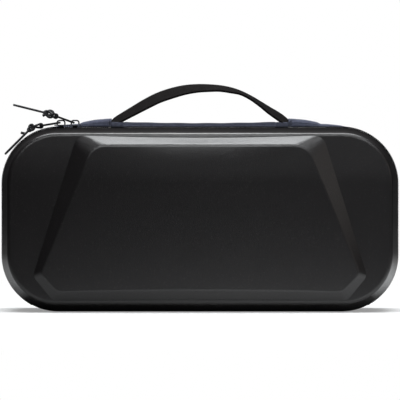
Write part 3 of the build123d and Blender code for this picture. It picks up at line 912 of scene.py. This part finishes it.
class CASE_OT_sliders(Operator):
    """Give the zip sliders and their tabs their finish"""
    bl_idname = "case.sliders"
    bl_label = "Sliders and tabs"

    def execute(self, context):
        for side in ("right", "left"):
            paint_node(f"{side}_slider", finish("Slider paint"))
            paint_node(f"{side}_pull_tab", finish("Slider paint"))
            self.thicken(frame["nodes"][f"{side}_pull_tab"], 0.2 * MM)
        return {"FINISHED"}

    def thicken(self, obj, coat):
        """The paint's thick coat: the faces are joined at their edges and moved out together."""
        weld = obj.modifiers.new("Joined edges", "WELD")
        weld.merge_threshold = 0.01 * MM
        swell = obj.modifiers.new("Paint coat", "DISPLACE")
        swell.strength = coat
        swell.mid_level = 0


# Handle: X as a share of the half length, rise above the shell's top in millimetres, lean in degrees.
HANDLE_HALF = 71.5 * MM
HANDLE_Y = 17.9 * MM
HANDLE_TAIL = 18.0 * MM
HANDLE_BOW = [(-0.958, 5.2, 19), (-0.867, 9.1, 22), (-0.755, 13.6, 25), (-0.615, 19.15, 28.5),
              (-0.476, 24.15, 29.5),
              (-0.329, 27.85, 29.5), (-0.178, 30.65, 26.5), (-0.042, 31.95, 22.5),
              (0.084, 32.25, 19.5), (0.224, 31.95, 15.5),
              (0.35, 30.45, 13.5), (0.462, 28.3, 9), (0.573, 24.4, 9), (0.685, 19.2, 12), (0.783, 14.2, 17),
              (0.881, 9.6, 20), (0.965, 5.2, 18)]


class CASE_OT_handle(Operator):
    """Add the handle's webbing, the sewn patches at its ends and the padded strip between them"""
    bl_idname = "case.handle"
    bl_label = "Handle"

    def execute(self, context):
        self.webbing()
        for side, name in ((1, "right"), (-1, "left")):
            self.patch(side, name)
        self.strip()
        return {"FINISHED"}

    def path(self):
        """X, height and lean of the webbing's middle, with its flat tails."""
        tails = [(HANDLE_HALF + HANDLE_TAIL * share, rise, 0)
                 for share, rise in ((1, 1.4), (0.55, 1.4), (0.15, 1.7))]
        bow = [(HANDLE_HALF * share, rise, lean) for share, rise, lean in HANDLE_BOW]
        return [(-x, rise, lean) for x, rise, lean in tails] + bow + tails[::-1]

    def along(self, path, share):
        """The path's values at a share of its stations, on a smooth curve through them."""
        place = share * (len(path) - 1)
        index = min(int(place), len(path) - 2)
        t = place - index
        before, here = path[max(index - 1, 0)], path[index]
        there, after = path[index + 1], path[min(index + 2, len(path) - 1)]
        return [0.5 * (2 * b + (c - a) * t + (2 * a - 5 * b + 4 * c - d) * t * t
                       + (3 * b - a - 3 * c + d) * t ** 3)
                for a, b, c, d in zip(before, here, there, after)]

    def webbing(self):
        width, thickness = sizes().webbing_width, sizes().webbing_thickness
        obj = ribbon("webbing", (0, -width / 2), (0.2, width / 2), 150, 8, thickness)
        path = self.path()

        def onto_bow(co):
            share = min(max(co.x / 0.2, 0), 1)
            x, rise, lean = self.along(path, share)
            ahead, behind = self.along(path, min(share + 0.004, 1)), self.along(path, max(share - 0.004, 0))
            run = Vector((ahead[0] - behind[0], 0, (ahead[1] - behind[1]) * MM)).normalized()
            up = Vector((-run.z, 0, run.x))
            tip = Matrix.Rotation(math.radians(lean), 3, run)
            crown = (1 - (2 * co.y / width) ** 4) * 0.12 * MM
            height = co.z + thickness / 2 + (crown if co.z > -1e-6 else -crown)
            offset = tip @ Vector((0, co.y, 0)) + (tip @ up) * height
            return Vector((x, HANDLE_Y, HEIGHT + rise * MM)) + offset

        reshape(obj, onto_bow)
        apply_modifier(obj, "BEVEL", width=0.45 * MM, segments=2, limit_method="ANGLE",
                       angle_limit=math.radians(50))
        smooth(obj, 50)
        dress(obj, "rear", "webbing", finish("Webbing"), "handle_webbing")

    def patch(self, side, name):
        """Cloth over the webbing's tail: open towards the middle, sewn down elsewhere, with a tongue."""
        length, width, tongue = 24.0 * MM, 18.0 * MM, 25.0 * MM
        obj = ribbon(f"{name}_patch", (0, -width / 2), (length + tongue, width / 2), 60, 26, 0)

        def top_line(x):
            """Height of the cloth's ridge, from the open mouth to the tongue's tip."""
            share = x / length
            if share < 0.9:
                return (7.6 - 1.3 * share - 2.0 * share ** 3) * MM
            rise = 7.6 - 1.3 * 0.9 - 2.0 * 0.9 ** 3
            settle_down = min(1.0, (share - 0.9) / 0.22)
            step = settle_down * settle_down * (3 - 2 * settle_down)
            low = 3.3 - 2.6 * max(0.0, (x - length) / tongue) ** 2
            return (rise + (low - rise) * step) * MM

        def over_tail(co):
            edge = 1 - min(1.0, abs(co.y) / (width / 2)) ** 6
            wrinkle = 0.14 * MM * math.sin(co.x * 700 + 500 * co.y) * edge
            z = 0.55 * MM + (top_line(co.x) - 0.55 * MM) * math.sqrt(max(edge, 0)) + wrinkle
            x = HANDLE_HALF + co.x
            past = max(0.0, x - CORNER_X)
            drop = CORNER_R - math.sqrt(CORNER_R ** 2 - past ** 2)
            return Vector((side * x, HANDLE_Y + co.y, HEIGHT - drop + max(z, 0.5 * MM)))

        reshape(obj, over_tail)
        if side < 0:
            obj.data.flip_normals()
        apply_modifier(obj, "SOLIDIFY", thickness=0.5 * MM, offset=-1)
        apply_modifier(obj, "SUBSURF", levels=1, render_levels=1)
        smooth(obj, 60)
        # The patch takes the navy cloth painted lighter: painted light.
        dress(obj, "rear", "patch_cloth", finish("Patch cloth"), f"{name}_handle_patch")
        tack = self.bar_tack(side, name)
        dress(tack, "rear", "patch_cloth", finish("Navy thread"))

    def bar_tack(self, side, name):
        """A close row of stitches down the front of the patch's mouth."""
        tack = stitch(f"{name}_bar_tack", 1.9 * MM, 0.5 * MM)
        repeat(tack, 11, (0, 0.56 * MM, 0))
        reshape(tack, lambda co: Vector((side * (HANDLE_HALF + 1.6 * MM) + co.x, 8.75 * MM,
                                         HEIGHT + 0.9 * MM + co.y + co.x * 0.3)) + Vector((0, co.z, 0)))
        outward(tack)
        smooth(tack, 60)
        return tack

    def strip(self):
        """Padded cloth between the handle's ends, drawn down along its edges."""
        half, width = 62.5 * MM, 17.4 * MM
        obj = ribbon("foot_strip", (-half, -width / 2), (half, width / 2), 120, 20, 0)

        def crowned(co):
            share = abs(co.x) / half
            rise = (4.0 + 1.0 * share ** 2) * MM
            edge = 1 - min(1.0, abs(co.y) / (width / 2)) ** 10
            close = 1 - max(0.0, (share - 0.97) / 0.03) ** 2
            wave = 0.1 * MM * math.sin(co.x * 260) * edge
            z = 0.5 * MM + (rise - 0.5 * MM) * math.sqrt(max(edge, 0)) * math.sqrt(max(close, 0)) + wave
            return Vector((co.x, HANDLE_Y + co.y, HEIGHT + max(z, 0.45 * MM)))

        reshape(obj, crowned)
        apply_modifier(obj, "SOLIDIFY", thickness=0.45 * MM, offset=-1)
        for side in (-1, 1):
            join_into(obj, self.lip(side, half))
        smooth(obj, 60)
        dress(obj, "rear", "patch_cloth", finish("Navy cloth"), "handle_strip")

    def lip(self, side, half):
        """The strip's folded front edge, which runs on past the webbing to the patch."""
        start, end = half - 1.5 * MM, HANDLE_HALF - 0.1 * MM
        bpy.ops.object.select_all(action="DESELECT")
        bpy.ops.mesh.primitive_cube_add(size=1)
        fold = bpy.context.object
        fold.scale = (end - start, 0.55 * MM, 4.7 * MM)
        fold.location = (side * (start + end) / 2, 9.48 * MM, HEIGHT + 2.4 * MM)
        settle(fold)
        bevel_all(0.2 * MM, 2)
        reshape(fold, lambda co: co + Vector((0, (co.z - HEIGHT) * 0.25, 0)))
        map_from_front(fold)
        return fold


class CASE_OT_inside(Operator):
    """Add the lined cradle, the seam bindings and the net pocket"""
    bl_idname = "case.inside"
    bl_label = "Inside"

    def execute(self, context):
        for half, side, body in (("rear", 1, "rear"), ("front", -1, "lid")):
            self.binding(half, side, body)
        self.cradle()
        self.net()
        return {"FINISHED"}

    def binding(self, half, side, body):
        low, high = sorted((side * 4.2 * MM, side * 13.2 * MM))
        band = rim_ribbon(f"{half}_seam_binding", 0, RIM_LENGTH, low, high, -4.1 * MM, 0.9 * MM, across=6)
        outward(band)
        dress(band, body, "binding_cloth", finish("Binding"), f"{half}_binding")

    def cradle(self):
        """The foam block with soft edges under its brushed lining."""
        node = frame["nodes"]["cradle"]
        obj = bpy.data.objects.new("lined_cradle", node.data.copy())
        bpy.context.collection.objects.link(obj)
        outward(obj)
        apply_modifier(obj, "REMESH", mode="VOXEL", voxel_size=1.9 * MM)
        apply_modifier(obj, "SMOOTH", factor=0.5, iterations=6)
        smooth(obj, 60)
        dress(obj, "rear", "lining", self.lining(), "cradle")

    def lining(self):
        """Brushed lining: a short nap with a slow change of tone."""
        colour = colours().lining
        material, tree, shader = new_material("Brushed lining")
        grain = place_group(tree, "Pebble grain", coordinates(tree, "Object"), Scale=2600)
        wire(tree, nap_colour(tree, grain, colour), shader.inputs["Base Color"])
        shader.inputs["Roughness"].default_value = 0.95
        shader.inputs["Specular IOR Level"].default_value = 0.15
        shader.inputs["Sheen Weight"].default_value = 0.5
        bump(tree, shader, grain.outputs["Height"], 0.7, 0.3 * MM)
        return material

    def net(self):
        """The net sheet with its dipped elastic hem, sewn to the front binding."""
        half, top, dip = 154.4 * MM, 95.6 * MM, 8.0 * MM
        net = ribbon("pocket_net", (-half, 0), (half, 1), 120, 36, 0)

        def edge_height(x):
            return top - dip * (1 - (x / half) ** 2)

        def bottom_height(x):
            inset, radius = 4.1 * MM, CORNER_R - 4.1 * MM
            past = abs(x) - CORNER_X
            if past <= 0:
                return inset
            return CORNER_R - math.sqrt(max(radius ** 2 - past ** 2, 0))

        def hang(co):
            low, high = bottom_height(co.x), edge_height(co.x)
            z = low + (high - low) * co.y
            sag = 0.35 * MM * math.sin(math.pi * co.y)
            return Vector((co.x, -13.65 * MM - sag, z))

        reshape(net, hang)
        map_from_front(net)
        if sum(face.normal.y for face in net.data.polygons) < 0:
            net.data.flip_normals()
        smooth(net, 60)
        dress(net, "lid", "mesh", self.net_cloth(), "mesh_pocket")
        hem = ribbon("pocket_hem", (-153.3 * MM, 0), (153.3 * MM, 8 * MM), 300, 6, 0.9 * MM)

        def gather(co):
            ripple = 0.18 * MM * math.sin(co.x * 2 * math.pi / (1.9 * MM))
            depth = -13.15 * MM - co.z + ripple * math.sin(math.pi * co.y / (8 * MM))
            return Vector((co.x, depth, edge_height(co.x) - co.y - 0.05 * MM))

        reshape(hem, gather)
        outward(hem)
        smooth(hem, 60)
        dress(hem, "lid", "binding_cloth", finish("Binding"), "mesh_hem")

    def net_cloth(self):
        """Open knitted net: dark threads round clear cells."""
        material, tree, shader = new_material("Pocket net")
        cell = sizes().net_cell
        weave = place_group(tree, "Woven threads", coordinates(tree, "UV"), Threads_per_metre=1 / cell)
        shade = mix_colour(tree, weave.outputs["Shade"], lighter(colours().binding, 1.5),
                           lighter(colours().binding, 0.7))
        wire(tree, shade, shader.inputs["Base Color"])
        wire(tree, map_range(tree, weave.outputs["Height"], 0.62, 0.7, 1, 0), shader.inputs["Alpha"])
        shader.inputs["Roughness"].default_value = 0.85
        shader.inputs["Specular IOR Level"].default_value = 0.2
        return material


class CASE_PT_panel(Panel):
    """Lists the case's sizes, colours and the steps that make it"""
    bl_idname = "CASE_PT_panel"
    bl_label = "Console Case"
    bl_space_type = "VIEW_3D"
    bl_region_type = "UI"
    bl_category = "Console Case"

    def draw(self, context):
        for step in STEPS:
            self.layout.operator(step.bl_idname)
        for group in (context.scene.case_sizes, context.scene.case_colours):
            box = self.layout.box()
            for name in group.__annotations__:
                box.prop(group, name)


STEPS = (CASE_OT_stage, CASE_OT_pull_cords, CASE_OT_shells, CASE_OT_zip, CASE_OT_sliders, CASE_OT_handle,
         CASE_OT_inside)
CLASSES = (CaseSizes, CaseColours, *STEPS, CASE_PT_panel)


def register():
    for cls in CLASSES:
        bpy.utils.register_class(cls)
    bpy.types.Scene.case_sizes = PointerProperty(type=CaseSizes)
    bpy.types.Scene.case_colours = PointerProperty(type=CaseColours)


def unregister():
    del bpy.types.Scene.case_colours
    del bpy.types.Scene.case_sizes
    for cls in reversed(CLASSES):
        bpy.utils.unregister_class(cls)


def main():
    register()
    bpy.ops.case.stage()
    bpy.ops.case.pull_cords()
    bpy.ops.case.shells()
    bpy.ops.case.zip()
    bpy.ops.case.sliders()
    bpy.ops.case.handle()
    bpy.ops.case.inside()


if __name__ == "__main__":
    main()
